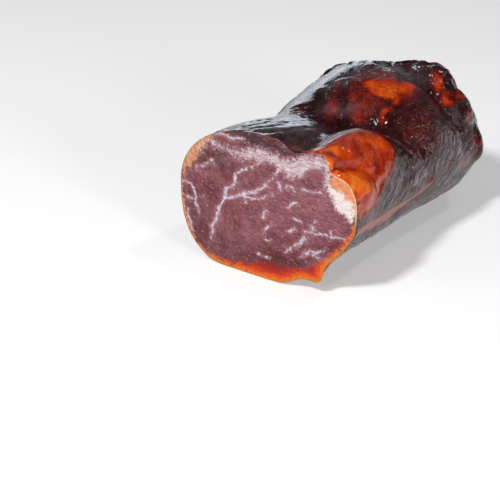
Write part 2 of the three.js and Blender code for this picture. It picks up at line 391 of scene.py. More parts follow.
@dataclass(frozen=True)
class RindMarks:
    """Where the fat, the skin's membrane and its painted sheen, painted shade in creases, wet flesh and
    folds lie on the rind.
    """

    # how near the fat is to the surface, from dark lean at 0 to pale orange fat at 1
    amber: tuple[Stroke, ...] = (
        # the redder fat under and between the three fat pads
        Stroke(((28, 5, 75, 5), (35, 18, 76, 6), (40, 32, 72, 8), (45, 37, 66, 7)), 3.0, 0.54),
        Stroke(((40, 8, 69, 8), (46, 18, 62, 9), (49, 14, 56, 9), (50, 6, 52, 7)), 3.5, 0.56),
        Stroke(((39, 15, 72, 6), (44, 25, 66, 8), (47, 32, 60, 7)), 4.0, 0.54),
        # upper fat pad, paler along the cut
        Stroke(((24, 1, 74.5, 2), (30, 5, 75.5, 3.5), (34, 8, 73.5, 4.5)), 3.0, 0.78),
        Stroke(((34, 9, 74, 4.5), (38, 12, 70, 4)), 2.5, 0.66),
        Stroke(((22, 0, 74, 1.5), (31, 0, 74.5, 2.5), (35, 1, 71, 2.5), (39, 1, 67, 2)), 2.0, 0.86),
        Stroke(((12, 1, 73.5, 1.2), (18, 5, 71.5, 1.4)), 1.2, 0.52),
        # lower fat pad
        Stroke(((42, 7, 66.5, 3), (46, 10, 63, 5)), 2.5, 0.7),
        Stroke(((42, 1, 65, 3), (45, 4, 62.5, 5.5), (48.5, 7, 60, 6), (49, 4, 57.5, 4.5)), 2.5, 0.82),
        Stroke(((43, 0, 64, 2), (46, 1, 61.5, 3), (48, 2, 58, 3)), 2.5, 0.92),
        # rear fat pad
        Stroke(((34, 20, 76.5, 3), (38, 26, 74.5, 5), (41, 32, 72, 6), (43, 37, 69, 5)), 5.0, 0.7),
        Stroke(((42, 9, 69, 1.5), (45, 16, 65, 2.0)), 2.0, 0.66),
        # the redder fat behind and below the lower pad
        Stroke(((47, 32, 61, 4), (49, 24, 54, 5), (51, 15, 50, 5), (51, 6, 48, 4)), 4.0, 0.58),
        # the glowing fat on the front of the hump
        Stroke(((11, 86, 76, 5.5), (19, 86, 75.5, 8), (26, 94, 75.5, 5)), 4.0, 0.7),
        Stroke(((16, 84, 75.5, 3.5), (22, 85, 74.5, 5), (25, 84, 73, 3)), 3.0, 0.76),
        Stroke(((10, 86, 76.5, 5.5), (18, 88, 75.5, 9), (27, 91, 74, 6.5)), 5.0, 0.54),
        Stroke(((27, 78, 71, 1.6), (26, 73, 69.5, 2.0), (27, 69, 67, 2.2), (31, 67, 65, 1.2)), 1.8, 0.58),
        # deep red flesh round it
        Stroke(((3, 88, 77, 4), (8, 95, 78, 4), (16, 101, 77.5, 2.5)), 3.5, 0.36),
        Stroke(((5, 80, 75, 6), (8, 72, 72, 7), (16, 68, 69, 7)), 4.0, 0.34),
        Stroke(((12, 76, 73, 3), (20, 76, 72.5, 4)), 4.0, 0.42),
        # the dark red right shoulder
        Stroke(((38, 76, 70, 8), (46, 72, 62, 9), (46, 88, 66, 8)), 6.0, 0.14),
        # the orange streak down the left of the hump's front
        Stroke(((-11, 87, 75, 0.5), (-7, 83, 75, 1.0), (-4, 77, 73.5, 1.3)), 1.3, 0.56),
        Stroke(((-4, 76, 73.5, 2.2), (-2, 68, 70.5, 3.6), (1, 62, 67, 4.2), (2, 58, 65.5, 3)), 2.8, 0.32),
        Stroke(((-3, 72, 72, 1.0), (-1, 66, 70, 1.6)), 1.5, 0.46),
        Stroke(((-16, 55, 67, 3), (-12, 52, 68, 2)), 2.5, 0.36),
        # orange spots between the far wrinkles
        Stroke(((32, 115, 78, 2), (36, 113, 75.5, 3.2), (37.5, 110, 72.5, 2.6)), 2.2, 0.6),
        Stroke(((42, 112, 70, 2.8), (44.5, 108, 66.5, 3.2)), 2.2, 0.58),
        Stroke(((45, 118, 71, 2.2), (48, 116, 68, 2.2)), 2.0, 0.46),
        Stroke(((53, 114, 60, 2), (55, 114, 56, 2)), 2.0, 0.42),
        Stroke(((26, 124, 79, 2), (32, 126, 78, 2)), 2.0, 0.42),
        Stroke(((57, 117, 46, 2), (59, 121, 42, 2)), 2.5, 0.42),
        # the red lines over the foot of the right flank
        Stroke(((45, 28, 30.5, 0.7), (46, 44, 29.5, 1.0)), 1.0, 0.64),
        Stroke(((48, 34, 37, 0.4), (48, 50, 34.5, 0.5)), 1.0, 0.5),
        Stroke(((51, 67, 35, 0.7), (53, 79, 37, 0.7)), 0.9, 0.62),
        # the crust along the foot of the cut
        Stroke(((-30, 0, 3, 2), (0, 0, 2, 4), (20, 1, 6, 3), (34, 1, 15, 2), (45, 1, 28, 1.5)), 2.0, 0.72),
        Stroke(((28, 0, 8, 5), (31, 1, 12, 4)), 2.0, 0.86),
        # fat of the left flank, along its cut edge and in two streaks
        Stroke(((-47, 0, 46, 2), (-42, 1, 58, 3), (-33, 1, 68, 2)), 3.0, 0.7),
        Stroke(((-46, 8, 50, 3), (-49, 30, 44, 5), (-48, 52, 46, 3)), 6.0, 0.5),
        Stroke(((-44, 96, 56, 4), (-38, 112, 62, 4)), 6.0, 0.48),
        # fat at the far end
        Stroke(((-12, 150, 48, 5), (6, 154, 40, 5)), 6.0, 0.46),
    )
    # painted shade: darker lines in the fat along the creases between the fat pads, in the pit by the cut
    # and down the hump's cleft
    crease_shade: tuple[Stroke, ...] = (
        Stroke(((37, 0, 68, 0.7), (39, 4, 67.2, 1.2), (41, 7.5, 66, 0.4)), 0.9, 0.95),
        Stroke(((34, 12, 76, 0.2), (37, 14, 73, 0.5), (39, 14, 70, 0.2)), 1.2, 0.3),
        Stroke(((47, 18, 62, 0.2), (49, 20, 58, 0.6), (50.5, 17, 54, 0.2)), 1.2, 0.4),
        # painted shade down the cleft of the hump
        Stroke(((-3, 82, 75, 0.8), (2, 74, 72.5, 1.0), (5, 68, 70, 1.2), (8, 62, 66, 1.6)), 1.8, 0.8),
    )
    # dry greyish membrane; on the top in front of the hump, on the hump's left slope and on its ridge it
    # is painted sheen as well
    film_and_sheen: tuple[Stroke, ...] = (
        # the top in front of the hump: painted bluish sheen over the membrane
        Stroke(((-34, 6, 68, 5), (-22, 7, 73, 6), (-8, 9, 76, 6), (3, 18, 75.5, 4)), 5.0, 0.65),
        Stroke(((-24, 26, 72, 6), (-8, 28, 75, 6), (4, 34, 73, 4)), 5.0, 0.7),
        Stroke(((4, 10, 75.5, 3), (8, 20, 75, 3.5), (8, 30, 72, 3)), 4.0, 0.65),
        # painted sheen along the left slope of the hump, and membrane on down the left flank
        Stroke(((-26, 60, 64, 4), (-24, 73, 67, 5), (-21, 88, 71.5, 5), (-20, 104, 73, 5)), 3.5, 0.62),
        Stroke(((-40, 60, 52, 8), (-42, 84, 54, 9), (-38, 108, 58, 8)), 8.0, 0.5),
        # the wrinkled ridge of the hump: membrane with a painted grey sheen
        Stroke(((-14, 84, 74, 2.5), (-10, 94, 77, 4), (-4, 103, 78.5, 5), (4, 110, 79.5, 5)), 2.5, 0.9),
        Stroke(
            ((2, 107, 79, 4), (10, 109, 79, 4), (19, 108, 78, 2.5), (26, 104, 76, 1.5), (32, 98, 73, 0.5)),
            2.0,
            0.9,
        ),
        # the right flank
        Stroke(((49, 27, 46, 5), (49, 38, 45, 8), (50, 55, 42, 8), (52, 68, 42, 8)), 6.0, 0.78),
        Stroke(((53, 84, 46, 8), (55, 98, 46, 8), (56, 112, 42, 7)), 6.0, 0.88),
        Stroke(((50, 14, 40, 5), (46, 34, 28, 6), (46, 60, 22, 6), (46, 90, 18, 6)), 5.0, 0.75),
        Stroke(((54, 92, 32, 6), (57, 112, 32, 6)), 4.0, 0.9),
        # the far end
        Stroke(((-10, 140, 66, 8), (14, 146, 56, 8), (34, 140, 46, 8)), 8.0, 0.45),
    )
    # the same, over fat too
    edges: tuple[Stroke, ...] = (
        # along the top of the fat pads
        Stroke(((16, 4, 73, 1.6), (21, 11, 74.5, 2.6), (26, 17, 76, 2.6), (31, 24, 77, 1.6)), 2.0, 0.65),
        Stroke(
            ((30, 26, 77, 1.4), (35, 33, 76, 1.0), (39, 42, 72.5, 0.9), (42, 52, 66.5, 0.8)),
            1.4,
            0.75,
        ),
        Stroke(((42, 52, 66.5, 0.8), (45, 60, 60, 0.6), (48, 66, 54, 0.4)), 1.2, 0.6),
        # the rosy band over the foot of the right flank
        Stroke(
            (
                (49, 3, 38, 3), (46, 27, 31, 5), (46, 45, 28.5, 4.2), (47.5, 61, 30.5, 2.8),
                (51, 80, 34, 0.6),
            ),
            3.0,
            0.9,
        ),
    )
    # where that membrane is pink instead of grey
    rosy: tuple[Stroke, ...] = (
        Stroke(
            ((14, 4, 72.5, 3), (22, 15, 75, 4), (31, 25, 77, 3), (39, 42, 72.5, 2), (45, 60, 60, 2)),
            2.5,
            0.9,
        ),
        Stroke(
            ((49, 5, 38, 3.5), (46, 27, 31, 5), (46, 45, 28.5, 4), (47.5, 61, 30.5, 3), (51, 80, 34, 1.5)),
            1.5,
        ),
        Stroke(((50, 12, 44, 5), (50, 20, 40, 5)), 6.0, 0.4),
        Stroke(((56, 106, 34, 4), (57, 114, 36, 4)), 4.0, 0.55),
    )
    # wet, dark, bare flesh
    wet: tuple[Stroke, ...] = (
        Stroke(
            ((-14, 56, 66, 6), (0, 50, 67, 9), (12, 58, 66, 9), (24, 66, 66, 8), (34, 70, 66, 6)), 5.0
        ),
        Stroke(((-2, 72, 73, 7), (10, 80, 75, 9), (22, 84, 74, 9)), 5.0),
        Stroke(((34, 78, 71, 6), (42, 74, 66, 7), (46, 84, 65, 7), (42, 92, 70, 5)), 6.0, 0.8),
        Stroke(((28, 122, 79, 8), (40, 112, 73, 8), (50, 112, 62, 8), (56, 116, 50, 6)), 5.0, 0.9),
    )
    # the strongly wrinkled ridge
    ridge: tuple[Stroke, ...] = (
        Stroke(((-14, 84, 74, 3), (-10, 94, 77, 4.5), (-4, 103, 78.5, 4.5), (4, 108, 79.5, 3)), 3.0),
    )
    # the smooth left slope of the hump
    slope: tuple[Stroke, ...] = (
        Stroke(((-26, 56, 62, 8), (-24, 73, 66, 9), (-21, 88, 71, 8), (-18, 104, 74, 7)), 4.0),
    )
    # pale hairlines of torn membrane
    hair: tuple[Stroke, ...] = (
        Stroke(((44, 62, 60, 8), (50, 72, 56, 9), (52, 84, 54, 9), (52, 94, 58, 7)), 6.0),
        Stroke(((40, 84, 70, 6), (46, 96, 66, 6)), 5.0, 0.7),
        Stroke(((36, 22, 75, 5), (42, 32, 70, 7), (45, 26, 65, 6)), 4.0, 0.9),
    )
    folds: tuple[Fold, ...] = (
        # fills up the furrow between the two fat pads, but for a pit by the cut
        Fold(((38, 0, 66.5), (40, 6, 66.5), (43, 13, 66), (46, 20, 62.5), (49, 28, 58)), 4.0, -3.2),
        Fold(((37, 0, 68), (40, 5, 66.8)), 1.5, 3.0),
        # down the front of the hump
        Fold(((-2, 82, 76), (3, 72, 72), (7, 63, 67), (10, 58, 64)), 2.2, 1.8, 0.6),
        Fold(((-13, 74, 73), (-8, 66, 70), (-3, 57, 66)), 2.0, 1.5, 0.5),
        Fold(((15, 72, 71), (18, 66, 68), (24, 65, 67)), 1.6, 1.6, 0.7),
        Fold(((10, 66, 68), (16, 61, 65), (24, 61, 64)), 1.6, 1.5, 0.7),
        Fold(((2, 54, 66), (8, 50, 66), (14, 54, 64)), 1.8, 1.4, 0.6),
        # between the glowing fat and the right shoulder
        Fold(((30, 96, 74), (29, 86, 73), (28, 78, 70), (30, 70, 67)), 1.8, 1.8, 0.6),
        # the long fold before the far lobes
        Fold(((30, 103, 75), (38, 104, 71), (43, 103, 67), (50, 104, 60), (54, 110, 54)), 2.0, 2.2, 0.7),
        Fold(((33, 110, 76), (40, 112, 72), (46, 112, 67), (50, 116, 62)), 1.8, 2.0, 0.7),
        Fold(((38, 120, 75), (42, 114, 71), (45, 106, 67)), 1.7, 1.7, 0.6),
        Fold(((12, 116, 80), (20, 120, 80), (28, 122, 79), (34, 126, 76)), 1.8, 1.2, 0.6),
        Fold(((18, 112, 79), (26, 114, 78), (31, 110, 76)), 1.7, 1.5, 0.5),
    )


@dataclass
class CuredHam:
    """The whole ham piece: its fine mesh, its relief and its painted features."""

    node: str = "ham"
    rounds: int = 2  # halvings of the CAD mesh all over; the cut face gets one more
    pucker: tuple[float, float] = (26.0, 60.0)  # mm across and along, where the pleats run together
    pleats_round: float = 11.0  # broad pleats in each radian round the pucker
    pleat_run: float = 15.0  # mm that a pleat runs on, away from the pucker
    finer: float = 2.3  # finer pleats for each broad one
    cut: CutMarks = field(default_factory=CutMarks)
    rind: RindMarks = field(default_factory=RindMarks)

    def build(self) -> bpy.types.Object:
        """Makes the ham.

        Returns:
            The ham's finished object, which stands for the CAD node.
        """
        noise.seed_set(NOISE_SEED)
        mesh = self.fine_mesh()
        low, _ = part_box(self.node)
        origin = np.array([low[0] / MM + CUT_TO_LEFT, low[1] / MM, 0.0])
        count = len(mesh.vertices)
        places = np.zeros(count * 3)
        mesh.vertices.foreach_get("co", places)
        points = places.reshape(-1, 3) / MM - origin
        normals = np.zeros(count * 3)
        mesh.vertices.foreach_get("normal", normals)
        normals = normals.reshape(-1, 3)
        on_face = points[:, 1] < TOUCHING
        fields = self.rind_fields(points, normals)
        moved = self.sculpt(points, normals, on_face, fields)
        # the materials have no use for these two
        del fields["front_strip"]
        del fields["ridge"]
        fields |= self.cut_fields(points, on_face, points[self.rim_points(mesh)])
        for name, values in fields.items():
            layer = mesh.attributes.new(name, "FLOAT", "POINT")
            layer.data.foreach_set("value", values.astype(np.float32))
        mesh.vertices.foreach_set("co", ((moved + origin) * MM).ravel())
        mesh.update()
        ham = bpy.data.objects.new("cured_ham", mesh)
        bpy.context.scene.collection.objects.link(ham)
        mesh.materials.append(CutLean().material())
        mesh.materials.append(OiledRind().material())
        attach(ham, "root")
        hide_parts(self.node)
        return ham

    def fine_mesh(self) -> bpy.types.Mesh:
        """Smooths the CAD solid into small quads. The cut face's rim stays sharp.

        Returns:
            A mesh whose cut face has material 0 and whose rind has material 1.
        """
        bm = bmesh.new()
        bm.from_mesh(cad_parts[self.node].data)
        bmesh.ops.remove_doubles(bm, verts=bm.verts, dist=TOUCHING * MM)
        bmesh.ops.join_triangles(
            bm, faces=bm.faces, angle_face_threshold=math.pi, angle_shape_threshold=math.pi
        )
        face_plane = min(vert.co.y for vert in bm.verts) + TOUCHING * MM
        crease = bm.edges.layers.float.new("crease_edge")
        rim = [
            edge
            for edge in bm.edges
            if sum(all(v.co.y < face_plane for v in f.verts) for f in edge.link_faces) == 1
        ]
        for edge in rim:
            edge[crease] = 1.0
        coarse = bpy.data.meshes.new("ham_coarse")
        bm.to_mesh(coarse)
        bm.free()
        shape = bpy.data.objects.new("ham_coarse", coarse)
        bpy.context.scene.collection.objects.link(shape)
        smooth = shape.modifiers.new("smooth", "SUBSURF")
        smooth.levels = smooth.render_levels = self.rounds
        smooth.boundary_smooth = "PRESERVE_CORNERS"
        seen = shape.evaluated_get(bpy.context.evaluated_depsgraph_get())
        fine = bpy.data.meshes.new_from_object(seen)
        bpy.data.objects.remove(shape)
        bpy.data.meshes.remove(coarse)
        bm = bmesh.new()
        bm.from_mesh(fine)
        cut_edges = [edge for edge in bm.edges if all(v.co.y < face_plane for v in edge.verts)]
        bmesh.ops.subdivide_edges(bm, edges=cut_edges, cuts=1, use_grid_fill=True)
        for face in bm.faces:
            face.smooth = True
            face.material_index = 0 if all(v.co.y < face_plane for v in face.verts) else 1
        for edge in bm.edges:
            edge.smooth = len({face.material_index for face in edge.link_faces}) == 1
        bm.to_mesh(fine)
        bm.free()
        fine.name = "cured_ham"
        return fine

    def cut_fields(
        self, points: np.ndarray, on_face: np.ndarray, rim: np.ndarray
    ) -> dict[str, np.ndarray]:
        """Measures where each feature of the cut face lies.

        Args:
            points: The ham's points in millimetres.
            on_face: Which points lie on the cut face.
            rim: The points of the cut face's rim.

        Returns:
            What each feature's attribute holds at each point. Those that are a gap hold millimetres.
        """
        face = points[on_face]
        strayed = wandered(wandered(face, 3.2, 0.8, 40), 1.1, 0.35, 41)
        roamed = wandered(face, 4.5, 1.4, 42)
        uneven = rumple(face, 2.4, 43)
        measured = {
            "rim": np.min([np.linalg.norm(face - place, axis=1) for place in rim], axis=0),
            "vein": nearest_gap(strayed, self.cut.veins) + 0.3 * uneven,
            "seam": nearest_gap(roamed, self.cut.seam) + 0.8 * uneven,
            "lean_island": nearest_gap(roamed, self.cut.lean_island) + 0.6 * uneven,
            "wedge": nearest_gap(roamed, self.cut.wedge),
            "amber_fat": nearest_gap(roamed, self.cut.amber_fat),
            "tan_fat": nearest_gap(roamed, self.cut.tan_fat) + 0.5 * uneven,
            "dark_rim": nearest_gap(roamed, self.cut.dark_rim) + 0.4 * uneven,
            "crust": nearest_gap(roamed, self.cut.crust) + 0.9 * uneven,
            "maroon": painted(roamed, self.cut.maroon),
            "brown": painted(roamed, self.cut.brown),
            "pink": painted(face, self.cut.pink),
            "orange_rim": painted(face, self.cut.orange_rim),
            "pale_rim_highlight": painted(face, self.cut.pale_rim_highlight),
            "slant": eased(-face[:, 0], 8.0, 24.0),
        }
        fields = {name: np.zeros(len(points)) for name in measured}
        for name, values in measured.items():
            fields[name][on_face] = values
        return fields

    def rind_fields(self, points: np.ndarray, normals: np.ndarray) -> dict[str, np.ndarray]:
        """Measures where each feature of the rind lies.

        Args:
            points: The ham's points in millimetres.
            normals: Its normals.

        Returns:
            What each feature's attribute holds at each point, from 0 to 1.
        """
        across, along, up = points.T
        roamed = wandered(wandered(points, 7.0, 1.8, 50), 2.2, 0.5, 51)
        # painted shade darkens the fat along its creases and down the hump's cleft
        amber = painted(roamed, self.rind.amber) * (1 - painted(points, self.rind.crease_shade))
        wet = painted(points, self.rind.wet)
        flank = eased(np.abs(normals[:, 0]), 0.35, 0.8)
        front_strip = eased(-along, -58, -38) * eased(-across, -17, -9) * eased(up, 45, 62)
        _, fine_pleats = self.pleats(points)
        # painted shade: the membrane and its painted sheen are taken away along the creases of the pleats
        # in front of the hump, so that they show dark
        creases = (1 - fine_pleats) * front_strip
        patchy = 0.3 * eased(rumple(points, (20, 26, 20), 52), -0.2, 0.35) * (1 - wet)
        bare = 1 - 0.85 * eased(amber, 0.42, 0.6)
        # the membrane, and painted sheen where it lies on the top, the hump's left slope and its ridge
        film_and_sheen = np.maximum(painted(roamed, self.rind.film_and_sheen) * (1 - 0.7 * wet), patchy)
        film_and_sheen *= bare * (1 - 0.9 * creases)
        film_and_sheen *= 1 - 0.5 * flank * eased(rumple(points, (14, 12, 18), 53), -0.1, 0.3)
        film_and_sheen = np.maximum(film_and_sheen, painted(roamed, self.rind.edges))
        rosy = painted(roamed, self.rind.rosy)
        slope = painted(points, self.rind.slope)
        ridge = painted(points, self.rind.ridge)
        fine = np.maximum(0.35 + 0.65 * flank, ridge) * (1 - 0.85 * front_strip) * (1 - 0.8 * slope)
        return {
            "amber": amber,
            "film_and_sheen": film_and_sheen,
            "rosy": rosy,
            "wet": wet,
            "hair": painted(points, self.rind.hair),
            "flank": flank,
            "fine": fine * (1 - 0.9 * eased(amber, 0.35, 0.6)) * (1 - 0.8 * rosy) * (1 - 0.95 * wet),
            "front_strip": front_strip,
            "ridge": ridge,
        }

    def pleats(self, points: np.ndarray) -> tuple[np.ndarray, np.ndarray]:
        """Measures the pleats in front of the hump, which run together at the pucker.

        Args:
            points: The ham's points in millimetres.

        Returns:
            The broad pleats and the finer ones between them, from 0 in a crease to 1 on a swelling.
        """
        away = points[:, :2] - np.array(self.pucker)
        turn = np.arctan2(away[:, 1], away[:, 0])
        reach = np.linalg.norm(away, axis=1)
        rays = np.column_stack([turn * self.pleats_round, reach / self.pleat_run, points[:, 2] / 30])
        rays = wandered(rays, 1.0, 0.25, 10)
        return creased(rays, 1.0, 3, 3.5), creased(rays * self.finer, 1.0, 4, 5.0)

    @staticmethod
    def rim_points(mesh: bpy.types.Mesh) -> np.ndarray:
        """The numbers of the points on the cut face's rim."""
        sharp = [edge.vertices[:] for edge in mesh.edges if edge.use_edge_sharp]
        return np.unique(np.array(sharp).ravel())

    def sculpt(
        self, points: np.ndarray, normals: np.ndarray, on_face: np.ndarray, fields: dict[str, np.ndarray]
    ) -> np.ndarray:
        """Moves the points as a sculptor would: swellings, creases and wrinkles.

        Args:
            points: The smooth ham's points in millimetres.
            normals: Its normals.
            on_face: Which points lie on the cut face.
            fields: The rind's painted features.

        Returns:
            The moved points.
        """
        _, along, up = points.T
        far_lobes = eased(along, 100, 116) * eased(up, 30, 50)
        lumps = 0.5 * rumple(points, 17, 1) + 0.2 * rumple(points, 7, 2)
        broad_pleats, fine_pleats = self.pleats(points)
        bent = wandered(points, 10, 3.5, 5)
        knots = 1.8 * creased(bent, (8, 9, 14), 6, 2.0) + 0.6 * creased(bent, (4, 4, 7), 7, 2.0) - 1.5
        leaned = bent - np.outer(up, (0.0, 0.6, 0.0))
        skin = 0.5 * creased(leaned, (6, 9, 14), 8, 2.0) + 0.25 * creased(leaned, (2.4, 2.8, 7), 9, 2.0)
        folds = 1.1 * creased(bent, (7, 9, 7), 12, 2.5) + 0.5 * creased(bent, 3.5, 13, 2.0) - 1.0
        rise = lumps + skin * fields["fine"] * (1 - far_lobes) * (1 + 0.8 * fields["ridge"])
        rise += folds * fields["wet"] * (1 - 0.8 * eased(fields["amber"], 0.4, 0.6)) * (1 - far_lobes)
        rise += (0.5 * broad_pleats + 0.25 * fine_pleats - 0.5) * fields["front_strip"]
        rise += knots * far_lobes
        strayed = wandered(points, 6.0, 1.6, 11)
        for fold in self.rind.folds:
            rise += fold.rise(strayed)
        bed = eased(up, 0.2, 5.0)  # the underside stays flat
        moved = points + normals * (rise * bed)[:, None]
        face_relief = 0.14 * rumple(points, 5, 17) + 0.07 * rumple(points, 1.6, 18)
        moved[on_face] = points[on_face]
        moved[on_face, 1] -= face_relief[on_face]
        return moved


@dataclass(frozen=True)
class Layer:
    """Something that lies over the lean on the cut face.

    gap names its attribute. edge is where it ends and soft how wide that end is, ragged is how far the
    edge strays, all in mm, and most is how much it covers. between and strand are its colours, between
    its strands and on them.
    """

    gap: str
    edge: float
    soft: float
    ragged: float
    most: float
    between: str
    strand: str


@dataclass(frozen=True)
class CutLean:
    """Sliced dry-cured pork.

    The knife leaves moist lean, matt with a faint shine, and whiter, waxy fat.
    """

    lean: str = "#673134"
    lean_pink: str = "#7b464f"
    lean_pale: str = "#9d6b74"
    lean_maroon: str = "#4a121a"
    lean_brown: str = "#3f262d"
    speck: str = "#c0a3ab"
    # pale fat along the cut's edge by the fat pads, lightened into a painted highlight
    rim_fat_highlight: str = "#efbe90"
    layers: tuple[Layer, ...] = (
        Layer("vein", 1.0, 0.9, 0.9, 0.4, "#a87780", "#b98d95"),
        Layer("vein", 0.1, 0.4, 0.55, 0.9, "#afa3b1", "#cfc8d5"),
        Layer("seam", 0.9, 2.2, 2.4, 0.5, "#a98790", "#d3bfc3"),
        Layer("seam", -0.6, 1.3, 2.0, 0.75, "#ad9098", "#dccdd0"),
        Layer("lean_island", 0.0, 0.8, 1.2, 0.85, "#7c4249", "#8e5860"),
        Layer("amber_fat", 0.5, 1.2, 0.8, 0.95, "#d67c4c", "#e29a6c"),
        Layer("wedge", 0.3, 1.4, 1.2, 0.95, "#dccbc8", "#e8ddd8"),
        Layer("tan_fat", 0.0, 1.0, 1.2, 0.85, "#bb7249", "#d8a585"),
        Layer("dark_rim", 0.1, 0.6, 0.8, 0.95, "#431813", "#7a2a15"),
    )
    crust: tuple[tuple[float, str], ...] = (
        (0.0, "#a8702a"),
        (0.12, "#d4741a"),
        (0.34, "#cf4a0c"),
        (0.65, "#ab240a"),
        (1.0, "#84180c"),
    )
    crust_depth: float = 8.0  # mm that the crust's colours spread over
    fibre_across: float = 0.6  # mm between muscle fibres; drawn coarser than real ones, so that they show
    fibre_run: float = 2.8  # mm that a fibre is followed before it dips out of the cut
    fibre_slopes: tuple[float, float] = (0.12, 0.95)  # radians that it falls by, on the right and left
    speck_gap: float = 1.5  # mm between fat specks

    def material(self) -> bpy.types.Material:
        """Makes the material.

        Returns:
            The cut face's material.
        """
        made = bare_material("sliced_cured_pork")
        tree = made.node_tree
        place = add(tree, "TexCoord").outputs["Object"]
        names = ["rim", "crust", "maroon", "brown", "pink", "slant", "orange_rim", "pale_rim_highlight"]
        names += dict.fromkeys(layer.gap for layer in self.layers)
        level = {name: add(tree, "Attribute", attribute_name=name).outputs["Fac"] for name in names}
        torn = {"Vector": place, "Scale": 0.8 / MM, "Detail": 3.0, "Roughness": 0.6}
        torn = add(tree, "TexNoise", torn)
        stray = add(tree, "MapRange", {0: torn, 1: 0.3, 2: 0.7, 3: -1.0, 4: 1.0})

        fibres = []
        for turn in self.fibre_slopes:
            size = (self.fibre_run * MM, MM, self.fibre_across * MM)
            laid = {"Vector": place, "Rotation": (0.0, turn, 0.0), "Scale": size}
            laid = add(tree, "Mapping", laid, vector_type="TEXTURE")
            strand = {"Vector": laid, "Scale": 1.0, "Detail": 2.0, "Roughness": 0.6}
            fibres.append(add(tree, "TexNoise", strand).outputs[0])
        fibre = add(tree, "Mix", {0: level["slant"], "A": fibres[0], "B": fibres[1]})
        strands = add(tree, "MapRange", {0: fibre, 1: 0.38, 2: 0.62, 3: 0.0, 4: 1.0})

        blotch = {"Vector": place, "Scale": 0.11 / MM, "Detail": 5.0, "Roughness": 0.65}
        blotch = add(tree, "TexNoise", blotch)
        pale = add(tree, "MapRange", {0: blotch, 1: 0.42, 2: 0.72, 3: 0.0, 4: 0.5})
        tone = linear(self.lean)
        for share, colour in (
            (level["pink"], self.lean_pink),
            (pale, self.lean_pale),
            (level["maroon"], self.lean_maroon),
            (level["brown"], self.lean_brown),
        ):
            tone = add(tree, "Mix", {0: share, "A": tone, "B": linear(colour)}, data_type="RGBA")
        grain = add(tree, "MapRange", {0: fibre, 1: 0.34, 2: 0.66, 3: 0.62, 4: 1.5})
        tone = add(tree, "VectorMath", {0: tone, "Scale": grain}, operation="SCALE")
        dots = add(tree, "TexVoronoi", {"Vector": place, "Scale": 1 / (self.speck_gap * MM)})
        dot = add(tree, "MapRange", {0: dots.outputs["Distance"], 1: 0.2, 2: 0.36, 3: 0.42, 4: 0.0})
        some = add(tree, "TexNoise", {"Vector": place, "Scale": 0.3 / MM, "Detail": 3.0})
        where = add(tree, "MapRange", {0: some, 1: 0.48, 2: 0.62})
        share = add(tree, "Math", {0: dot, 1: where}, operation="MULTIPLY")
        tone = add(tree, "Mix", {0: share, "A": tone, "B": linear(self.speck)}, data_type="RGBA")

        relief = fibre
        for layer in self.layers:
            gap = {0: stray, 1: layer.ragged, 2: level[layer.gap]}
            gap = add(tree, "Math", gap, operation="MULTIPLY_ADD")
            ends = {0: gap, 1: layer.edge - layer.soft, 2: layer.edge + layer.soft, 3: layer.most, 4: 0.0}
            share = add(tree, "MapRange", ends, interpolation_type="SMOOTHSTEP")
            colours = {0: strands, "A": linear(layer.between), "B": linear(layer.strand)}
            colour = add(tree, "Mix", colours, data_type="RGBA")
            tone = add(tree, "Mix", {0: share, "A": tone, "B": colour}, data_type="RGBA")
            relief = add(tree, "Mix", {0: share, "A": relief, "B": 0.5})

        depth = add(tree, "Math", {0: stray, 1: 1.3, 2: level["rim"]}, operation="MULTIPLY_ADD")
        share = add(tree, "MapRange", {0: depth, 1: 0.0, 2: self.crust_depth})
        crust = graded(add(tree, "ValToRGB", {0: share}), self.crust)
        for name, edge, soft, ragged, most, colour in (
            ("crust", 0.0, 0.9, 1.5, 1.0, crust),
            ("rim", 0.6, 0.4, 0.3, level["orange_rim"], crust),
            # the pale line of fat along the rim by the fat pads, with its painted highlight
            ("rim", 0.6, 0.5, 0.4, level["pale_rim_highlight"], linear(self.rim_fat_highlight)),
        ):
            gap = add(tree, "Math", {0: stray, 1: ragged, 2: level[name]}, operation="MULTIPLY_ADD")
            ends = {0: gap, 1: edge - soft, 2: edge + soft, 3: most, 4: 0.0}
            share = add(tree, "MapRange", ends, interpolation_type="SMOOTHSTEP")
            tone = add(tree, "Mix", {0: share, "A": tone, "B": colour}, data_type="RGBA")

        bump = add(tree, "Bump", {"Height": relief, "Strength": 0.6, "Distance": 0.25 * MM})
        shader = add(
            tree,
            "BsdfPrincipled",
            {
                "Base Color": tone,
                "Roughness": 0.42,
                "IOR": 1.38,
                "Specular IOR Level": 0.35,
                "Subsurface Weight": 0.1,
                "Subsurface Radius": (0.004, 0.0015, 0.001),
                "Subsurface Scale": 0.5,
                "Normal": bump,
            },
        )
        add(tree, "OutputMaterial", {"Surface": shader})
        return made


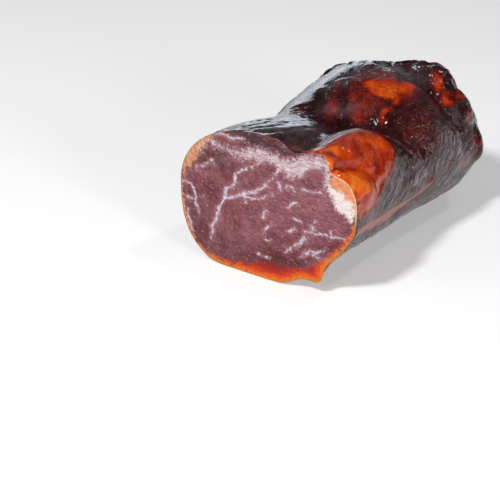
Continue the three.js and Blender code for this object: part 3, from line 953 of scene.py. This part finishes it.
@dataclass(frozen=True)
class OiledRind:
    """Dry-cured pork rind under oil.

    Dark, wet lean glints through it, the fat glows amber where it is near the surface, and a dry,
    wrinkled membrane of skin lies over both and takes the shine off. On the top its bluish grey is
    painted sheen as well.
    """

    depths: tuple[tuple[float, str], ...] = (
        (0.0, "#260709"),
        (0.16, "#3e0d0d"),
        (0.34, "#5e1109"),
        (0.52, "#962206"),
        (0.66, "#bf3c05"),
        (0.82, "#e25f06"),
        (1.0, "#ee963c"),
    )
    # bluish grey of the membrane, which on the top stands for the sheen there too: painted sheen
    film_and_sheen_grey: str = "#84868f"
    film_lilac: str = "#9c8792"
    film_rosy: str = "#ad7870"
    hair: str = "#a98a86"
    wrinkle: float = 3.0  # mm between the fine wrinkles
    wrinkle_run: float = 9.0  # mm that a wrinkle runs on, up the flanks
    wrinkle_lean: float = 0.6  # radians that the wrinkles lean towards the far end
    waves: float = 5.0  # wrinkles for each swing of the film's grain
    sway: float = 7.0  # mm that the wrinkles and hairs stray sideways
    bead: float = 3.2  # mm across the small wet bumps
    # mm that a hair curls over, and its width as a share of the noise it follows
    curls: tuple[tuple[float, float], ...] = ((7.0, 0.012), (4.0, 0.018))

    def material(self) -> bpy.types.Material:
        """Makes the material.

        Returns:
            The rind's material.
        """
        made = bare_material("oiled_dry_cured_rind")
        tree = made.node_tree
        place = add(tree, "TexCoord").outputs["Object"]
        names = ("amber", "film_and_sheen", "rosy", "wet", "hair", "flank", "fine")
        level = {name: add(tree, "Attribute", attribute_name=name).outputs["Fac"] for name in names}
        sway = add(tree, "TexNoise", {"Vector": place, "Scale": 0.16 / MM, "Detail": 3.0})
        swayed = {0: sway.outputs["Color"], 1: (self.sway * MM,) * 3, 2: place}
        swayed = add(tree, "VectorMath", swayed, operation="MULTIPLY_ADD")

        # fine wrinkles run in waves along the film, with smoother patches between
        size = (self.wrinkle * MM, self.wrinkle * MM, self.wrinkle_run * MM)
        laid = {"Vector": swayed, "Rotation": (-self.wrinkle_lean, 0.0, 0.0), "Scale": size}
        laid = add(tree, "Mapping", laid, vector_type="TEXTURE")
        grain = add(tree, "TexNoise", {"Vector": laid, "Scale": 0.4, "Detail": 1.0, "Roughness": 0.5})
        phase = add(tree, "Math", {0: grain, 1: self.waves * math.tau}, operation="MULTIPLY")
        wave = add(tree, "Math", {0: phase}, operation="SINE")
        lines = add(tree, "MapRange", {0: wave, 1: -0.2, 2: 0.5, 3: 0.0, 4: 1.0})
        streak = add(tree, "TexNoise", {"Vector": laid, "Scale": 1.0, "Detail": 2.0, "Roughness": 0.55})
        broken = add(tree, "MapRange", {0: streak, 1: 0.4, 2: 0.6, 3: 0.1, 4: 1.0})
        threads = add(tree, "Math", {0: lines, 1: broken}, operation="MULTIPLY")
        threads = add(tree, "Mix", {0: level["fine"], "A": 0.65, "B": threads})
        threads = add(tree, "Math", {0: threads, 1: level["rosy"]}, operation="MAXIMUM")
        cover = add(tree, "Math", {0: level["film_and_sheen"], 1: threads}, operation="MULTIPLY")

        mottle = add(tree, "TexNoise", {"Vector": place, "Scale": 0.17 / MM, "Detail": 5.0})
        shift = add(tree, "MapRange", {0: mottle, 1: 0.3, 2: 0.7, 3: -0.08, 4: 0.16})
        calm = add(tree, "MapRange", {0: level["amber"], 1: 0.5, 2: 0.75, 3: 1.0, 4: 0.35})
        depth = add(tree, "Math", {0: shift, 1: calm, 2: level["amber"]}, operation="MULTIPLY_ADD")
        # thin darker and paler strands show in the fat
        strands = add(tree, "MapRange", {0: streak, 1: 0.35, 2: 0.65, 3: -0.05, 4: 0.05})
        depth = add(tree, "Math", {0: depth, 1: strands}, operation="ADD")
        tone = graded(add(tree, "ValToRGB", {0: depth}), self.depths)
        # grey unless the skin faces left or right, partly painted sheen; lilac where it faces sideways;
        # pink where it is rosy
        film_and_sheen = linear(self.film_and_sheen_grey)
        for share, colour in ((level["flank"], self.film_lilac), (level["rosy"], self.film_rosy)):
            film_and_sheen = add(tree, "Mix", {0: share, "A": film_and_sheen, "B": linear(colour)}, data_type="RGBA")
        tone = add(tree, "Mix", {0: cover, "A": tone, "B": film_and_sheen}, data_type="RGBA")

        # curled hairlines follow where a noise crosses its middle value
        for size, thin in self.curls:
            curl = add(tree, "TexNoise", {"Vector": swayed, "Scale": 1 / (size * MM), "Detail": 0.0})
            off = add(tree, "Math", {0: curl, 1: 0.5}, operation="SUBTRACT")
            off = add(tree, "Math", {0: off}, operation="ABSOLUTE")
            line = add(tree, "MapRange", {0: off, 1: 0.0, 2: thin, 3: 1.0, 4: 0.0})
            broken = add(tree, "MapRange", {0: mottle, 1: 0.42, 2: 0.55, 3: 0.0, 4: 0.85})
            share = add(tree, "Math", {0: line, 1: broken}, operation="MULTIPLY")
            share = add(tree, "Math", {0: share, 1: level["hair"]}, operation="MULTIPLY")
            tone = add(tree, "Mix", {0: share, "A": tone, "B": linear(self.hair)}, data_type="RGBA")

        rough = add(tree, "MapRange", {0: cover, 1: 0.0, 2: 0.8, 3: 0.06, 4: 0.34})
        rough = add(tree, "Math", {0: level["rosy"], 1: 0.2, 2: rough}, operation="MULTIPLY_ADD")
        bead = add(tree, "TexNoise", {"Vector": swayed, "Scale": 1 / (self.bead * MM), "Detail": 2.0})
        bead = add(tree, "MapRange", {0: bead, 1: 0.48, 2: 0.68}, interpolation_type="SMOOTHSTEP")
        beads = add(tree, "Math", {0: bead, 1: level["wet"]}, operation="MULTIPLY")
        ridges = add(tree, "Math", {0: lines, 1: 0.5, 2: streak}, operation="MULTIPLY_ADD")
        height = add(tree, "Math", {0: ridges, 1: level["fine"], 2: beads}, operation="MULTIPLY_ADD")
        bump = add(tree, "Bump", {"Height": height, "Strength": 1.0, "Distance": 1.0 * MM})
        shader = add(
            tree,
            "BsdfPrincipled",
            {
                "Base Color": tone,
                "Roughness": rough,
                "IOR": 1.45,
                "Subsurface Weight": 0.12,
                "Subsurface Radius": (0.004, 0.001, 0.0005),
                "Subsurface Scale": 0.5,
                "Normal": bump,
            },
        )
        add(tree, "OutputMaterial", {"Surface": shader})
        return made


@dataclass(frozen=True)
class Softbox:
    """A square studio light that looks at the ham.

    azimuth and elevation are where it stands, in degrees, as for the camera. distance and side are in
    metres, and power in watts.
    """

    name: str
    azimuth: float
    elevation: float
    distance: float
    side: float
    power: float
    colour: str = "#ffffff"

    def build(self) -> bpy.types.Object:
        """Makes the light.

        Returns:
            The light's object.
        """
        lamp = bpy.data.lights.new(self.name, "AREA")
        lamp.shape = "SQUARE"
        lamp.size = self.side
        lamp.energy = self.power
        lamp.color = linear(self.colour)[:3]
        holder = bpy.data.objects.new(self.name, lamp)
        bpy.context.scene.collection.objects.link(holder)
        way = direction(self.azimuth, self.elevation)
        holder.location = way * self.distance
        holder.rotation_euler = way.to_track_quat("Z", "Y").to_euler()
        return holder


def direction(azimuth: float, elevation: float) -> Vector:
    """The way from the ham to a camera or light. Azimuth 0 is in front of the cut face."""
    around, up = math.radians(azimuth), math.radians(elevation)
    return Vector((math.sin(around) * math.cos(up), -math.cos(around) * math.cos(up), math.sin(up)))


@dataclass(frozen=True)
class Studio:
    """The pale floor, the soft lights and the camera."""

    azimuth: float = 33.0  # degrees
    elevation: float = 29.0  # degrees
    distance: float = 0.62  # metres from the camera to the spot it looks at
    lens: float = 86.4  # mm on a film 36 mm wide
    looks_at: tuple[float, float] = (-21.0, 20.5)  # mm across and along the ham, on the table
    paper_half: float = 4.0  # metres from the middle of the floor to its edges
    paper_glow: float = 0.3  # evens out the floor's shadows, as light from all round does
    room_light: float = 0.08
    softboxes: tuple[Softbox, ...] = (
        Softbox("key_lamp", -6.0, 50.0, 1.4, 0.14, 11.5),
        Softbox("left_softbox", -40.0, 14.0, 1.4, 0.5, 3.6),
        Softbox("right_softbox", 66.0, 18.0, 1.2, 0.3, 4.2),
        Softbox("low_back_softbox", 214.0, 2.0, 1.2, 0.55, 2.2, "#dde6f4"),
        Softbox("side_lamp", 110.0, 64.0, 1.2, 0.08, 1.0),
    )

    def build(self) -> None:
        """Makes the floor, lights, world and camera."""
        for softbox in self.softboxes:
            softbox.build()
        self.floor()
        self.world()
        self.camera()

    def floor(self) -> None:
        """Lays matt white paper under the ham. Its fibres scatter the light, so that it has no shine."""
        bm = bmesh.new()
        bmesh.ops.create_grid(bm, x_segments=1, y_segments=1, size=self.paper_half)
        mesh = bpy.data.meshes.new("floor")
        bm.to_mesh(mesh)
        bm.free()
        floor = bpy.data.objects.new("floor", mesh)
        bpy.context.scene.collection.objects.link(floor)
        made = bpy.data.materials.new("matt_white_paper")
        made.use_nodes = True
        shader = made.node_tree.nodes["Principled BSDF"]
        shader.inputs["Base Color"].default_value = linear("#f4f4f4")
        shader.inputs["Roughness"].default_value = 0.9
        shader.inputs["Emission Color"].default_value = linear("#ffffff")
        shader.inputs["Emission Strength"].default_value = self.paper_glow
        mesh.materials.append(made)

    def world(self) -> None:
        """Lights the scene evenly and faintly, as a dim room does."""
        world = bpy.data.worlds.new("dim_room")
        world.use_nodes = True
        background = world.node_tree.nodes["Background"]
        background.inputs["Color"].default_value = linear("#f2f4f8")
        background.inputs["Strength"].default_value = self.room_light
        scene = bpy.context.scene
        scene.world = world
        scene.view_settings.view_transform = "Standard"

    def camera(self) -> None:
        """Puts the camera where the photograph was taken from."""
        low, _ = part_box("ham")
        across, along = self.looks_at
        target = Vector((low[0] + (CUT_TO_LEFT + across) * MM, low[1] + along * MM, 0.0))
        data = bpy.data.cameras.new("camera")
        data.lens = self.lens
        data.sensor_width = 36.0
        data.clip_start = 0.01
        camera = bpy.data.objects.new("camera", data)
        bpy.context.scene.collection.objects.link(camera)
        way = direction(self.azimuth, self.elevation)
        camera.location = target + way * self.distance
        camera.rotation_euler = way.to_track_quat("Z", "Y").to_euler()
        bpy.context.scene.camera = camera


def main() -> None:
    """Builds the studio and the ham."""
    Studio().build()
    ham = CuredHam().build()
    log.info("ham: %d points, %d faces", len(ham.data.vertices), len(ham.data.polygons))


if __name__ == "__main__":
    logging.basicConfig(level=logging.INFO, format="%(message)s")
    main()
